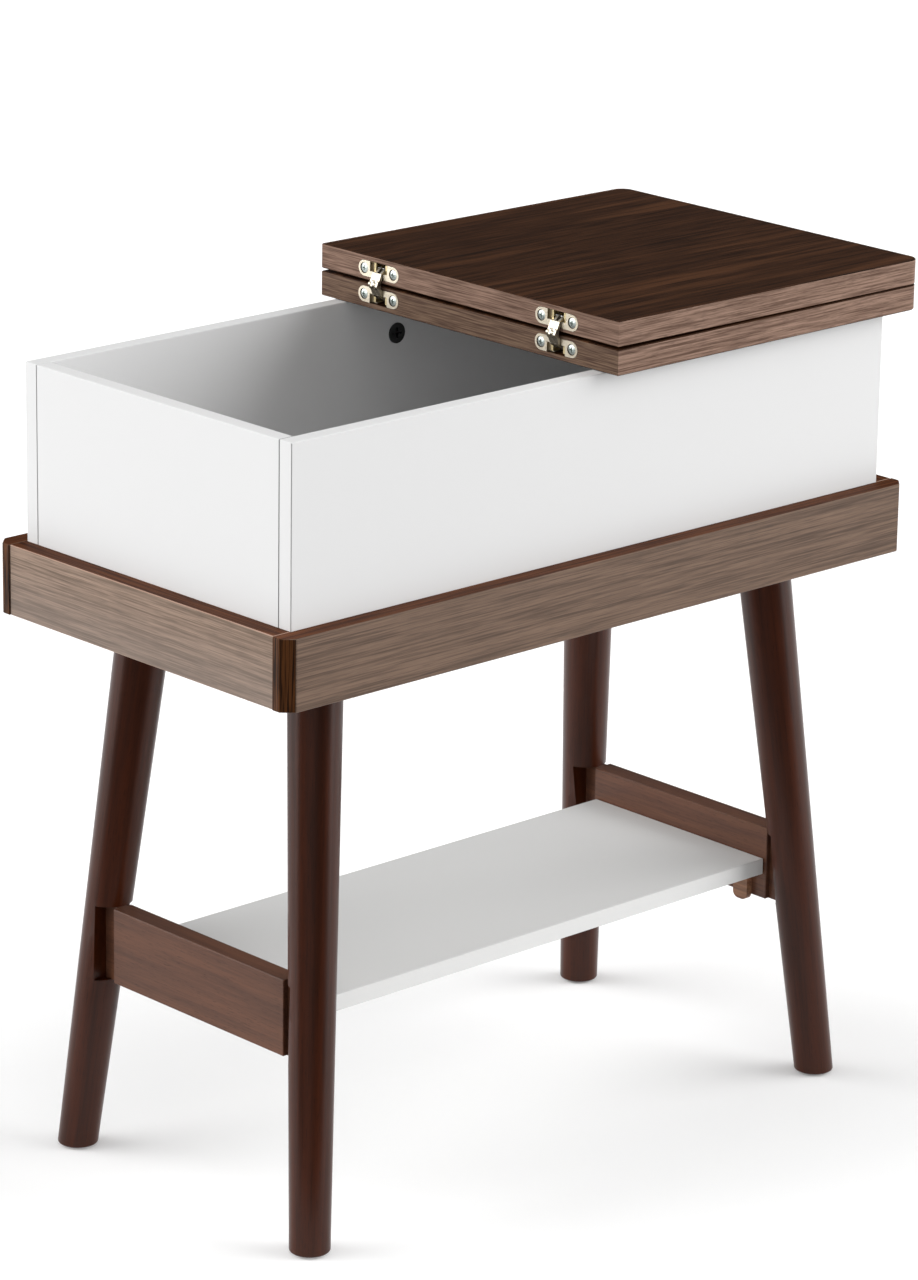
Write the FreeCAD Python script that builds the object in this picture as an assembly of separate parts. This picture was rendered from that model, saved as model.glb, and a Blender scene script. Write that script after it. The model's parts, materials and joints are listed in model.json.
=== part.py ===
"""Fold-top end table: storage box in an apron frame on four splayed legs.

The frame is right-handed, millimetres, +Z up. The origin is on the floor under the middle of
the table's bounding box, +X runs along the length towards the half that the lid covers, and
the front is -Y. The table stands as it does when it is open: the folding leaf lies on the
fixed leaf, and the left half of the storage box is uncovered.
"""

import FreeCAD
import Part
import math
import os

from FreeCAD import Vector

# ---------------------------------------------------------------- table top
leaf_end_overhang = 7.0
leaf_side_overhang = 13.5
leaf_thickness = 18.0
leaf_corner_radius = 10.0
leaf_arris = 0.6
leaf_gap = 1.9
leaf_droop_deg = 0.27
seam_half = 0.75
lid_clearance = 0.3

# ---------------------------------------------------------------- apron frame
apron_bottom = 398.5
apron_length = 588.0
apron_depth = 303.0
apron_height = 50.0
apron_thickness = 15.0
apron_corner_chamfer = 8.0
apron_end_recess = 1.0

# ---------------------------------------------------------------- storage box
panel_thickness = 12.0
panel_rise = 126.0
bottom_thickness = 15.0
bottom_recess = 6.0
board_arris = 0.5

# ---------------------------------------------------------------- legs
leg_end_inset = 80.8
leg_side_inset = 63.9
leg_splay_x = 34.8
leg_splay_y = 37.1
leg_top_radius = 19.1
leg_foot_radius = 14.2
foot_round = 1.5
glide_radius = 9.0
glide_thickness = 1.6
glide_nail_radius = 1.0
glide_nail_length = 9.0

# ---------------------------------------------------------------- leg fixings
plate_size = 62.0
plate_thickness = 2.0
plate_corner_radius = 6.0
plate_screw_inset = 8.0
plate_screw_radius = 1.9
plate_screw_length = 12.0
plate_screw_head_radius = 3.8
plate_screw_head_height = 2.2
hanger_radius = 4.0
hanger_in_leg = 38.0
hanger_above_plate = 6.0
hanger_relief_radius = 8.0
hanger_relief_depth = 8.0

# ---------------------------------------------------------------- stretchers and shelf
stretcher_bottom = 130.0
stretcher_height = 55.0
stretcher_thickness = 16.0
notch_from_axis = 6.8
tenon_length = 13.3
tenon_thickness = 8.0
shelf_top = 161.0
shelf_thickness = 12.0
shelf_side_inset = 2.5
shelf_end_gap = 0.5
support_width = 14.0
support_thickness = 5.0
support_drop = 4.0
support_corner_radius = 5.0
support_inset = 11.5

# ---------------------------------------------------------------- dowels and screws
dowel_radius = 3.0
dowel_in_edge = 12.0
dowel_in_face = 8.0
dowel_play = 0.05
panel_dowel_rise = 24.0
panel_dowel_drop = 50.0
bottom_dowel_inset_x = 86.0
bottom_dowel_inset_y = 44.5
apron_dowel_inset = 14.0
stretcher_dowel_inset = 12.5
shelf_dowel_inset = 37.5
apron_screw_rise = 13.0
apron_screw_inset_x = 66.0
apron_screw_inset_y = 44.5
apron_screw_radius = 2.0
apron_screw_length = 22.0
apron_screw_head_radius = 4.0
recess_width = 1.0

# ---------------------------------------------------------------- cam locks
cam_radius = 7.5
cam_depth = 9.0
cam_proud = 0.8
cam_drop = 30.3
cam_from_middle = 50.0
cam_from_end = 28.0
cam_play = 0.1
cam_cross_length = 8.0
cam_cross_width = 1.8
cam_cross_depth = 2.4
cam_bolt_radius = 3.0
cam_bolt_in_leaf = 10.0
cam_bolt_play = 0.3

# ---------------------------------------------------------------- hinges
hinge_inset = 60.0
hinge_plate_length = 41.5
hinge_plate_height = 11.4
hinge_plate_edge = 2.65
hinge_plate_thickness = 2.0
hinge_plate_proud = 0.2
hinge_bridge = 4.4
hinge_screw_spacing = 30.0
pocket_width = 18.0
pocket_depth = 3.2
cup_width = 17.0
cup_depth = 15.0
cup_wall = 0.8
cheek_thickness = 2.0
mortise_play = 0.2
link_thickness = 2.0
link_play = 0.3
fixed_pin_depth = 0.9
fixed_pin_inset = 1.4
centre_pin_out = 3.6
centre_pin_rise = 0.6
link_swing_deg = 122.8
knee_out = 0.6
knee_inset = 3.8
slider_depth = 4.0
slider_inset = 7.1
eye_radius = 1.2
nose_radius = 1.6
knee_radius = 1.1
arm_radius = 1.2
pin_radius = 0.6
pin_play = 0.05
slot_play = 0.35
cup_slot_steps = 12
nose_slot_steps = 4
nose_steps = 2
hinge_screw_radius = 1.6
hinge_screw_length = 20.0
hinge_screw_head_radius = 3.4
hinge_screw_head_depth = 1.6
hinge_screw_crown = 0.5
hinge_screw_sink = 0.5
hinge_screw_ring = 0.5

# ---------------------------------------------------------------- derived places
apron_top = apron_bottom + apron_height
rim = apron_top + panel_rise
lid_bottom = rim + lid_clearance
fold_plane = lid_bottom + leaf_thickness + leaf_gap / 2
box_length = apron_length - 2 * (apron_end_recess + apron_thickness)
box_depth = apron_depth - 2 * apron_thickness
inside_length = box_length - 2 * panel_thickness
inside_depth = box_depth - 2 * panel_thickness
bottom_under = apron_bottom + bottom_recess
bottom_top = bottom_under + bottom_thickness
plate_under = bottom_under - plate_thickness
stretcher_top = stretcher_bottom + stretcher_height
stretcher_mid = stretcher_bottom + stretcher_height / 2
shelf_under = shelf_top - shelf_thickness
leaf_reach = apron_length / 2 + leaf_end_overhang
leaf_depth = box_depth + 2 * leaf_side_overhang
leg_top_x = apron_length / 2 - leg_end_inset
leg_top_y = apron_depth / 2 - leg_side_inset
hinge_y = leaf_depth / 2 - hinge_inset
frame_shift = Vector(-(leaf_reach - apron_length / 2) / 2, 0, 0)
link_pitch = link_thickness + link_play
lower_link_slots = (-1.5 * link_pitch, 0.5 * link_pitch)
upper_link_slots = (-0.5 * link_pitch, 1.5 * link_pitch)
channel_half = 2 * link_pitch + link_play
plate_near = leaf_gap / 2 + hinge_plate_edge
plate_far = plate_near + hinge_plate_height
cheek_near = -(plate_near + cup_wall)
cheek_far = -(plate_far - cup_wall)
pin_reach = channel_half + cheek_thickness
hinge_screw_sizes = (hinge_screw_radius, hinge_screw_head_radius, hinge_screw_head_depth)
mouth_radius = hinge_screw_head_radius + hinge_screw_ring
fixed_pin = (-fixed_pin_depth, -(plate_near + fixed_pin_inset))
centre_pin = (centre_pin_out, centre_pin_rise)
fold_axis = (seam_half, 0.0)
knee_point = (knee_out, plate_near + knee_inset)
shoulder_point = (knee_point[0], -knee_point[1])
slider_point = (-slider_depth, plate_near + slider_inset)
apron_screw_sizes = (apron_screw_radius, apron_screw_head_radius, apron_screw_head_radius - apron_screw_radius)
corners = [(sx, sy) for sx in (-1, 1) for sy in (-1, 1)]


# ---------------------------------------------------------------- general shapes
def box_between(x0, x1, y0, y1, z0, z1):
    """Box between two corners, given as low and high values along each axis."""
    low = Vector(min(x0, x1), min(y0, y1), min(z0, z1))
    return Part.makeBox(abs(x1 - x0), abs(y1 - y0), abs(z1 - z0), low)


def rod(start, end, radius):
    """Round rod from one point to another."""
    return Part.makeCylinder(radius, (end - start).Length, start, end - start)


def prism(points, direction):
    """Closed outline of straight runs, carried along a direction."""
    outline = Part.makePolygon(points + [points[0]])
    return Part.Face(outline).extrude(direction)


def eased(solid, size):
    """The same solid with every edge cut back by a small chamfer."""
    return solid.makeChamfer(size, solid.Edges)


def cut_all(solid, tools):
    """The solid less all the tools."""
    return solid.cut(Part.makeCompound(tools))


def group(solids):
    """Several separate solids kept as one shape."""
    return Part.makeCompound(solids)


def save(node, shape):
    """Write one named piece, moved from the apron's centre to the frame's origin."""
    placed = shape.copy()
    placed.translate(frame_shift)
    placed.exportStep(os.path.join("parts", node + ".step"))


# ---------------------------------------------------------------- dowels
def dowel(face_point, into_edge):
    """Dowel across a joint; its two bores are the same rod with a little play.

    face_point lies on the face that the edge butts against, and into_edge is the unit
    direction from there into the piece that shows its edge.
    """
    return rod(face_point - into_edge * dowel_in_face, face_point + into_edge * dowel_in_edge, dowel_radius)


def dowel_bore(face_point, into_edge):
    """Bore for a dowel, a little wider and longer than the dowel."""
    start = face_point - into_edge * (dowel_in_face + dowel_play)
    end = face_point + into_edge * (dowel_in_edge + dowel_play)
    return rod(start, end, dowel_radius + dowel_play)


def panel_dowel_seats():
    """Seats of the dowels between the long panels and the end panels."""
    x = box_length / 2 - panel_thickness / 2
    y = box_depth / 2 - panel_thickness
    heights = [bottom_top + panel_dowel_rise, rim - panel_dowel_drop]
    return [(Vector(sx * x, sy * y, z), Vector(0, -sy, 0)) for sx, sy in corners for z in heights]


def bottom_dowel_seats():
    """Seats of the dowels between the box's four panels and its bottom."""
    z = bottom_under + bottom_thickness / 2
    x = inside_length / 2
    y = inside_depth / 2
    along = x - bottom_dowel_inset_x
    across = y - bottom_dowel_inset_y
    seats = [(Vector(px, sy * y, z), Vector(0, -sy, 0)) for px in (-along, 0, along) for sy in (-1, 1)]
    return seats + [(Vector(sx * x, py, z), Vector(-sx, 0, 0)) for py in (-across, across) for sx in (-1, 1)]


def apron_dowel_seats():
    """Seats of the dowels between the apron's long boards and its end boards."""
    x = apron_length / 2 - apron_end_recess - apron_thickness / 2
    y = apron_depth / 2 - apron_thickness
    heights = [apron_bottom + apron_dowel_inset, apron_top - apron_dowel_inset]
    return [(Vector(sx * x, sy * y, z), Vector(0, -sy, 0)) for sx, sy in corners for z in heights]


def stretcher_dowel_seats():
    """Seats of the dowels between the stretchers' tenons and the flats on the legs."""
    x = leg_axis(stretcher_mid).x
    heights = [stretcher_bottom + stretcher_dowel_inset, stretcher_top - stretcher_dowel_inset]
    return [(Vector(sx * x, sy * notch_y(), z), Vector(0, -sy, 0)) for sx, sy in corners for z in heights]


def shelf_dowel_seats():
    """Seats of the dowels between the stretchers' inner faces and the shelf's ends."""
    x = stretcher_inner_x()
    y = shelf_side() - shelf_dowel_inset
    z = shelf_under + shelf_thickness / 2
    return [(Vector(sx * x, sy * y, z), Vector(-sx, 0, 0)) for sx, sy in corners]


def dowels(seats):
    """All dowels of one joint."""
    return group([dowel(point, into_edge) for point, into_edge in seats])


def bores(seats):
    """All bores of one joint."""
    return [dowel_bore(point, into_edge) for point, into_edge in seats]


# ---------------------------------------------------------------- countersunk screws
def countersunk(tip, head, shank_radius, head_radius, head_depth, crown=0.0):
    """Countersunk screw from its tip to the flat or crown of its head, with a cross recess."""
    axis = (head - tip).normalize()
    neck = head - axis * head_depth
    cone = Part.makeCone(shank_radius, head_radius, head_depth, neck, axis)
    screw = rod(tip, head, shank_radius).fuse(cone)
    if crown:
        ball_radius = (head_radius ** 2 + crown ** 2) / (2 * crown)
        ball = Part.makeSphere(ball_radius, head + axis * (crown - ball_radius))
        screw = screw.fuse(ball.common(rod(head, head + axis * crown, head_radius)))
    side = Vector(0, 0, 1) if abs(axis.z) < 0.5 else Vector(1, 0, 0)
    for across in (side, axis.cross(side)):
        width = axis.cross(across) * (recess_width / 2)
        half = across * (head_radius * 0.55)
        floor = head - axis * (head_depth * 0.6)
        corner = [floor - half - width, floor + half - width, floor + half + width, floor - half + width]
        screw = screw.cut(prism(corner, axis * (head_depth + crown)))
    return screw


def countersunk_bore(tip, head, shank_radius, head_radius, head_depth):
    """Hole that takes a countersunk screw with a little play round it."""
    axis = (head - tip).normalize()
    neck = head - axis * head_depth
    wide = Part.makeCone(shank_radius + dowel_play, head_radius + dowel_play, head_depth, neck, axis)
    mouth = rod(head, head + axis * head_depth, head_radius + dowel_play)
    return rod(tip - axis * dowel_play, head, shank_radius + dowel_play).fuse(wide).fuse(mouth)


def apron_screw_runs():
    """Tip and head of each screw that holds an apron board from inside the box."""
    z = bottom_top + apron_screw_rise
    along = inside_length / 2 - apron_screw_inset_x
    across = inside_depth / 2 - apron_screw_inset_y
    runs = []
    for sy in (-1, 1):
        for x in (-along, 0, along):
            head = Vector(x, sy * inside_depth / 2, z)
            runs.append((head + Vector(0, sy * apron_screw_length, 0), head))
    for sx in (-1, 1):
        for y in (-across, across):
            head = Vector(sx * inside_length / 2, y, z)
            runs.append((head + Vector(sx * apron_screw_length, 0, 0), head))
    return runs


def apron_screws():
    """Screws that hold the apron boards to the box."""
    return group([countersunk(tip, head, *apron_screw_sizes) for tip, head in apron_screw_runs()])


def apron_screw_bores():
    """Holes of the apron screws."""
    return [countersunk_bore(tip, head, *apron_screw_sizes) for tip, head in apron_screw_runs()]


# ---------------------------------------------------------------- apron frame
def apron_long_board(side):
    """Front (-1) or back (+1) apron board, with its outer upright corners cut at 45 degrees."""
    half = apron_length / 2
    outer = side * apron_depth / 2
    inner = side * (apron_depth / 2 - apron_thickness)
    shoulder = outer - side * apron_corner_chamfer
    plan = [
        (-half, inner),
        (half, inner),
        (half, shoulder),
        (half - apron_corner_chamfer, outer),
        (apron_corner_chamfer - half, outer),
        (-half, shoulder),
    ]
    points = [Vector(x, y, apron_bottom) for x, y in plan]
    board = eased(prism(points, Vector(0, 0, apron_height)), board_arris)
    return cut_all(board, bores(apron_dowel_seats()) + apron_screw_bores())


def apron_end_board(side):
    """Left (-1) or right (+1) apron board, set between the two long boards."""
    outer = side * (apron_length / 2 - apron_end_recess)
    half = apron_depth / 2 - apron_thickness
    inner = outer - side * apron_thickness
    board = eased(box_between(inner, outer, -half, half, apron_bottom, apron_top), board_arris)
    return cut_all(board, bores(apron_dowel_seats()) + apron_screw_bores())


# ---------------------------------------------------------------- storage box
def cam_seats():
    """Centre of each cam on its panel's inner face, with the direction into the panel."""
    y = inside_depth / 2
    places = (cam_from_middle, box_length / 2 - cam_from_end)
    return [(Vector(x, sy * y, rim - cam_drop), Vector(0, sy, 0)) for sy in (-1, 1) for x in places]


def cam_bolt(seat, inward, radius, extra):
    """Upright bolt from the middle of a cam into the lid above it."""
    foot = seat + inward * (panel_thickness / 2)
    top = Vector(foot.x, foot.y, lid_bottom + cam_bolt_in_leaf + extra)
    return rod(foot, top, radius)


def cam_lock(seat, inward):
    """Round cam lock with a cross recess, slotted where the bolt's head enters it."""
    body = rod(seat - inward * cam_proud, seat + inward * cam_depth, cam_radius)
    face = seat - inward * cam_proud
    long_half = cam_cross_length / 2
    short_half = cam_cross_width / 2
    floor = face + inward * cam_cross_depth
    flat = box_between(-long_half, long_half, face.y, floor.y, -short_half, short_half)
    upright = box_between(-short_half, short_half, face.y, floor.y, -long_half, long_half)
    cross = flat.fuse(upright)
    cross.translate(Vector(seat.x, 0, seat.z))
    return body.cut(cross).cut(cam_bolt(seat, inward, cam_bolt_radius + cam_bolt_play, 0))


def cam_bores():
    """Holes in the long panels for the cams and their bolts."""
    tools = []
    for seat, inward in cam_seats():
        tools.append(rod(seat - inward, seat + inward * (cam_depth + cam_play), cam_radius + cam_play))
        tools.append(cam_bolt(seat, inward, cam_bolt_radius + cam_bolt_play, 0))
    return tools


def long_panel(side):
    """Front (-1) or back (+1) panel of the box, the full length of the box."""
    outer = side * box_depth / 2
    inner = side * inside_depth / 2
    panel = eased(box_between(-box_length / 2, box_length / 2, inner, outer, apron_bottom, rim), board_arris)
    seats = panel_dowel_seats() + bottom_dowel_seats()
    return cut_all(panel, bores(seats) + apron_screw_bores() + cam_bores())


def end_panel(side):
    """Left (-1) or right (+1) panel of the box, between the two long panels."""
    outer = side * box_length / 2
    inner = side * inside_length / 2
    half = inside_depth / 2
    panel = eased(box_between(inner, outer, -half, half, apron_bottom, rim), board_arris)
    seats = panel_dowel_seats() + bottom_dowel_seats()
    return cut_all(panel, bores(seats) + apron_screw_bores())


def bottom_panel():
    """Bottom of the box, which also carries the four legs."""
    half_x = inside_length / 2
    half_y = inside_depth / 2
    panel = eased(box_between(-half_x, half_x, -half_y, half_y, bottom_under, bottom_top), board_arris)
    tools = bores(bottom_dowel_seats())
    for sx, sy in corners:
        axis_point = leg_point(sx, sy, bottom_under)
        tools.append(rod(axis_point, axis_point + Vector(0, 0, hanger_relief_depth), hanger_relief_radius))
        for foot in plate_screw_points(sx, sy):
            tip = foot + Vector(0, 0, plate_screw_length + dowel_play)
            tools.append(rod(foot, tip, plate_screw_radius + dowel_play))
    return cut_all(panel, tools)


# ---------------------------------------------------------------- legs
def leg_axis(z):
    """Point of the leg's axis at a height, in the quarter where x and y are positive."""
    share = z / apron_bottom
    x = leg_top_x + leg_splay_x * (1 - share)
    y = leg_top_y + leg_splay_y * (1 - share)
    return Vector(x, y, z)


def leg_point(sx, sy, z):
    """Point of the axis of one of the four legs at a height."""
    point = leg_axis(z)
    return Vector(sx * point.x, sy * point.y, z)


def leg_radius(z):
    """Radius of the leg at a height."""
    return leg_foot_radius + (leg_top_radius - leg_foot_radius) * z / apron_bottom


def notch_y():
    """Distance from the middle to the flat that each leg has for its stretcher."""
    return leg_axis(stretcher_mid).y - notch_from_axis


def stretcher_shoulder():
    """Distance from the middle to the shoulders where each stretcher's tenons begin."""
    return notch_y() - tenon_length


def shelf_side():
    """Distance from the middle to the shelf's front and back edges."""
    return stretcher_shoulder() - shelf_side_inset


def stretcher_inner_x():
    """Distance from the middle to the inner face of each stretcher."""
    return leg_axis(stretcher_mid).x - stretcher_thickness / 2


def leg(sx, sy):
    """Tapered round leg, level at both ends, with a flat and a ledge for the stretcher."""
    below = leg_point(sx, sy, -leg_foot_radius)
    above = leg_point(sx, sy, plate_under + leg_top_radius)
    axis = above - below
    cone = Part.makeCone(leg_radius(below.z), leg_radius(above.z), axis.Length, below, axis)
    reach = apron_length
    solid = cone.common(box_between(-reach, reach, -reach, reach, glide_thickness, plate_under))
    sole = [edge for edge in solid.Edges if edge.BoundBox.ZMax < glide_thickness + 0.01]
    solid = solid.makeFillet(foot_round, sole)
    centre = leg_axis(stretcher_mid)
    wide = 2 * leg_top_radius
    x0 = sx * (centre.x - wide)
    x1 = sx * (centre.x + wide)
    notch = box_between(x0, x1, sy * (notch_y() - wide), sy * notch_y(), stretcher_bottom, stretcher_top)
    foot = leg_point(sx, sy, 0)
    nail = rod(foot, foot + Vector(0, 0, glide_thickness + glide_nail_length), glide_nail_radius + dowel_play)
    tools = [notch, hanger_bolt(sx, sy, hanger_radius + dowel_play), nail] + bores(stretcher_dowel_seats())
    return cut_all(solid, tools)


def hanger_bolt(sx, sy, radius):
    """Bolt along the leg's axis, from inside the leg through its plate."""
    start = leg_point(sx, sy, plate_under - hanger_in_leg)
    end = leg_point(sx, sy, bottom_under + hanger_above_plate)
    return rod(start, end, radius)


def plate_screw_points(sx, sy):
    """Where the four screws of a leg plate enter the box's bottom."""
    centre = leg_point(sx, sy, bottom_under)
    half = plate_size / 2 - plate_screw_inset
    return [centre + Vector(px * half, py * half, 0) for px, py in corners]


def leg_plate(sx, sy):
    """Flat steel plate between a leg and the box's bottom."""
    centre = leg_point(sx, sy, plate_under)
    half = plate_size / 2
    low = Vector(centre.x - half, centre.y - half, plate_under)
    plate = Part.makeBox(plate_size, plate_size, plate_thickness, low)
    upright = [edge for edge in plate.Edges if edge.BoundBox.ZLength > plate_thickness / 2]
    plate = plate.makeFillet(plate_corner_radius, upright)
    drop = Vector(0, 0, plate_thickness)
    radius = plate_screw_radius + dowel_play
    tools = [rod(point - drop, point, radius) for point in plate_screw_points(sx, sy)]
    return cut_all(plate, tools + [hanger_bolt(sx, sy, hanger_radius + dowel_play)])


def plate_screw(point):
    """Round-headed screw up through a leg plate into the box's bottom."""
    under = point - Vector(0, 0, plate_thickness)
    shank = rod(under, point + Vector(0, 0, plate_screw_length), plate_screw_radius)
    drop = Vector(0, 0, plate_screw_head_height)
    head = rod(under - drop, under, plate_screw_head_radius)
    rounded = [edge for edge in head.Edges if edge.BoundBox.ZMax < under.z - plate_screw_head_height / 2]
    head = head.makeFillet(plate_screw_head_height * 0.6, rounded)
    return shank.fuse(head)


def foot_glide(sx, sy):
    """Round glide under a foot, with the nail that holds it."""
    foot = leg_point(sx, sy, 0)
    disc = rod(foot, foot + Vector(0, 0, glide_thickness), glide_radius)
    nail = rod(foot, foot + Vector(0, 0, glide_thickness + glide_nail_length), glide_nail_radius)
    return disc.fuse(nail)


# ---------------------------------------------------------------- stretchers and shelf
def stretcher(side):
    """Board between the front and back leg of one side, with a tenon at each end."""
    centre = side * leg_axis(stretcher_mid).x
    half = stretcher_thickness / 2
    shoulder = stretcher_shoulder()
    board = box_between(centre - half, centre + half, -shoulder, shoulder, stretcher_bottom, stretcher_top)
    half = tenon_thickness / 2
    end = notch_y()
    tenon = box_between(centre - half, centre + half, -end, end, stretcher_bottom, stretcher_top)
    solid = eased(board, board_arris).fuse(tenon)
    return cut_all(solid, bores(stretcher_dowel_seats() + shelf_dowel_seats()))


def shelf():
    """Shelf between the two stretchers, on its four supports."""
    half = stretcher_inner_x() - shelf_end_gap
    deep = shelf_side()
    board = eased(box_between(-half, half, -deep, deep, shelf_under, shelf_top), board_arris)
    return cut_all(board, bores(shelf_dowel_seats()))


def shelf_support(sx, sy):
    """Block on a stretcher's inner face that the shelf rests on, with rounded lower corners."""
    face = sx * stretcher_inner_x()
    inner = face - sx * support_thickness
    outer_y = shelf_side() - support_inset
    inner_y = outer_y - support_width
    block = box_between(inner, face, sy * inner_y, sy * outer_y, stretcher_bottom - support_drop, shelf_under)
    lower = stretcher_bottom - support_drop + 0.1
    rounded = [edge for edge in block.Edges
               if edge.BoundBox.ZMax < lower and edge.BoundBox.XLength > support_thickness / 2]
    return block.makeFillet(support_corner_radius, rounded)


# ---------------------------------------------------------------- hinge motion
# A hinge is worked out in its own plane: u points out of the leaves' edge, v up from the
# plane halfway between the folded leaves. The folding leaf turns about the fold axis, and the
# plane that mirrors one leaf into the other always passes through it. The lower link turns
# about the fixed pin of the lower cup at a steady share of the fold, and the upper link is its
# mirror image. Places that follow the motion are worked out for a share of the whole unfolding.
def turned(point, share):
    """A point of the lower link, turned about its fixed pin."""
    angle = -math.radians(link_swing_deg) * share
    du = point[0] - fixed_pin[0]
    dv = point[1] - fixed_pin[1]
    cosine = math.cos(angle)
    sine = math.sin(angle)
    return fixed_pin[0] + du * cosine - dv * sine, fixed_pin[1] + du * sine + dv * cosine


def across_fold(point, share):
    """Mirror image of a point in the plane halfway between the leaves."""
    half_fold = math.pi * share / 2
    normal = (math.sin(half_fold), math.cos(half_fold))
    off = (point[0] - fold_axis[0]) * normal[0] + (point[1] - fold_axis[1]) * normal[1]
    return point[0] - 2 * off * normal[0], point[1] - 2 * off * normal[1]


def slider_in_lower_cup(share):
    """Where the upper link's slider pin is in the lower cup."""
    return across_fold(turned(slider_point, share), share)


def other_centre_pin(share):
    """Where the mirror image of the centre pin is, seen from the turning lower link."""
    return turned(across_fold(turned(centre_pin, share), share), -share)


def runs_of(place, steps):
    """Straight runs between the places that a pin passes through, from folded to flat."""
    places = [place(i / steps) for i in range(steps + 1)]
    return list(zip(places, places[1:]))


def at_hinge(u, y, v, middle):
    """Point of the frame from a hinge's own coordinates."""
    return Vector(seam_half - u, middle + y, fold_plane + v)


# ---------------------------------------------------------------- hinge pieces
def capsule(start, end, radius, y0, y1, middle):
    """Flat bar with round ends between two points of the hinge's plane."""
    ends = []
    for u, v in (start, end):
        ends.append(rod(at_hinge(u, y0, v, middle), at_hinge(u, y1, v, middle), radius))
    if math.dist(start, end) < 0.01:
        return ends[0]
    along = Vector(end[0] - start[0], end[1] - start[1], 0).normalize()
    du = -along.y * radius
    dv = along.x * radius
    outline = [
        at_hinge(start[0] + du, y0, start[1] + dv, middle),
        at_hinge(end[0] + du, y0, end[1] + dv, middle),
        at_hinge(end[0] - du, y0, end[1] - dv, middle),
        at_hinge(start[0] - du, y0, start[1] - dv, middle),
    ]
    return prism(outline, Vector(0, y1 - y0, 0)).fuse(ends)


def link_plate(y, middle, slotted):
    """One plate of the lower link, from its fixed pin over the centre pin to its slider.

    Its nose holds the centre pin, or has the slot that the centre pin slides in. Beside the
    fixed pin a web carries the nose's outer edge on, in line with the other link's arm.
    """
    y0 = y - link_thickness / 2
    y1 = y + link_thickness / 2
    nose = [(centre_pin, centre_pin)] + runs_of(other_centre_pin, nose_steps)
    nose_foot = other_centre_pin(0)
    web = [at_hinge(u, y0, v, middle) for u, v in (fixed_pin, nose_foot, shoulder_point)]
    plate = capsule(fixed_pin, fixed_pin, eye_radius, y0, y1, middle)
    plate = plate.fuse([
        prism(web, Vector(0, y1 - y0, 0)),
        capsule(nose_foot, shoulder_point, knee_radius, y0, y1, middle),
        capsule(fixed_pin, shoulder_point, knee_radius, y0, y1, middle),
        capsule(centre_pin, knee_point, knee_radius, y0, y1, middle),
        capsule(knee_point, slider_point, arm_radius, y0, y1, middle),
    ] + [capsule(start, end, nose_radius, y0, y1, middle) for start, end in nose]).removeSplitter()
    tight = pin_radius + pin_play
    holes = [capsule(point, point, tight, y0, y1, middle) for point in (fixed_pin, slider_point)]
    if slotted:
        loose = pin_radius + slot_play
        runs = runs_of(other_centre_pin, nose_slot_steps)
        holes += [capsule(start, end, loose, y0, y1, middle) for start, end in runs]
    else:
        holes.append(capsule(centre_pin, centre_pin, tight, y0, y1, middle))
    return cut_all(plate, holes)


def half_turn(shape, middle):
    """The other half of a hinge: half a turn about the line across its middle."""
    other = shape.copy()
    other.rotate(Vector(0, middle, fold_plane), Vector(1, 0, 0), 180)
    return other


def cross_pin(point, half_length, middle, play=0.0):
    """Pin across the hinge through one point of its plane."""
    start = at_hinge(point[0], -half_length, point[1], middle)
    end = at_hinge(point[0], half_length, point[1], middle)
    return rod(start, end, pin_radius + play)


def plate_outline(grow, depth, middle):
    """Plate with two round ears, as a solid from the edge face into the leaf."""
    radius = hinge_plate_height / 2 + grow
    ear = hinge_plate_length / 2 - hinge_plate_height / 2
    v = -(plate_near + plate_far) / 2
    left = rod(at_hinge(hinge_plate_proud, -ear, v, middle), at_hinge(-depth, -ear, v, middle), radius)
    right = rod(at_hinge(hinge_plate_proud, ear, v, middle), at_hinge(-depth, ear, v, middle), radius)
    low = at_hinge(hinge_plate_proud, -ear, v - radius, middle)
    high = at_hinge(-depth, ear, v + radius, middle)
    return box_between(low.x, high.x, low.y, high.y, low.z, high.z).fuse([left, right])


def hinge_box(u0, u1, half_width, v0, v1, middle):
    """Box in a hinge's own coordinates, centred across the hinge."""
    low = at_hinge(u0, -half_width, v0, middle)
    high = at_hinge(u1, half_width, v1, middle)
    return box_between(low.x, high.x, low.y, high.y, low.z, high.z)


def hinge_screw_run(side, middle):
    """Tip and head of one of the two screws of a lower hinge plate."""
    y = side * hinge_screw_spacing / 2
    v = -(plate_near + plate_far) / 2
    head_u = hinge_plate_proud - hinge_screw_sink
    return at_hinge(-hinge_screw_length, y, v, middle), at_hinge(head_u, y, v, middle)


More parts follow.
